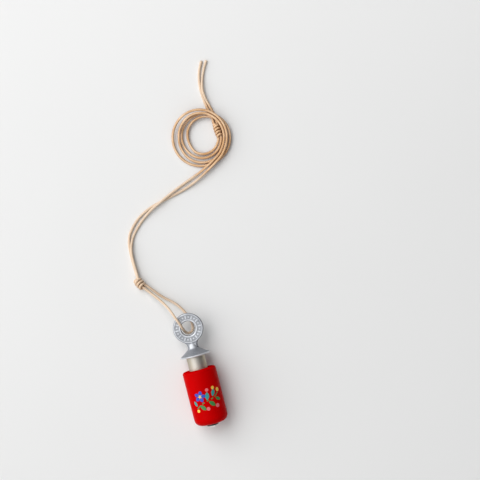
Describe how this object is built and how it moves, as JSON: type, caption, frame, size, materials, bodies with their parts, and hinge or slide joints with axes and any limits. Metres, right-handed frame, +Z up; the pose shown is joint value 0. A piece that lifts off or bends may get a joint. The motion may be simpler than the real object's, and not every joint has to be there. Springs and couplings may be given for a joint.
{
  "type": "bird call",
  "caption": "Friction bird call: a cast eye key twists and draws out of the rosined bore of a turned red wooden barrel, hung on a doubled, knotted and coiled leather cord.",
  "frame": {"origin": "on the table, below the middle of the call's length, on the barrel's axis seen from above", "axes": "+Y along the barrel's axis towards the eye, +Z up, +X to the right with the eye pointing away"},
  "size_m": [0.0627, 0.1695, 0.016],
  "materials": {
    "red_lacquer": "satin lacquer",
    "pewter": "cast, shank polished",
    "rosin": "thin worn film",
    "nickel": "bright nickel",
    "leather": "natural"
  },
  "bodies": {
    "key": {"twist_key": "pewter", "cord_eye_loop": "leather", "cord_near_knot": "leather", "cord_run_outer": "leather", "cord_run_inner": "leather", "cord_coil_outer": "leather", "cord_coil_inner": "leather", "cord_end_knot": "leather", "cord_tail_left": "leather", "cord_tail_right": "leather"},
    "rosin": {"rosin_film": "rosin"},
    "barrel": {"barrel": "red_lacquer", "end_screw": "nickel"}
  },
  "joints": [
    {"name": "twist", "type": "hinge", "parent": "key", "child": "rosin", "pos_m": [0, 0, 0.008], "axis": [0, 1, 0], "continuous": true},
    {"name": "draw", "type": "slide", "parent": "rosin", "child": "barrel", "axis": [0, -1, 0], "range_m": [0, 0.022]}
  ]
}
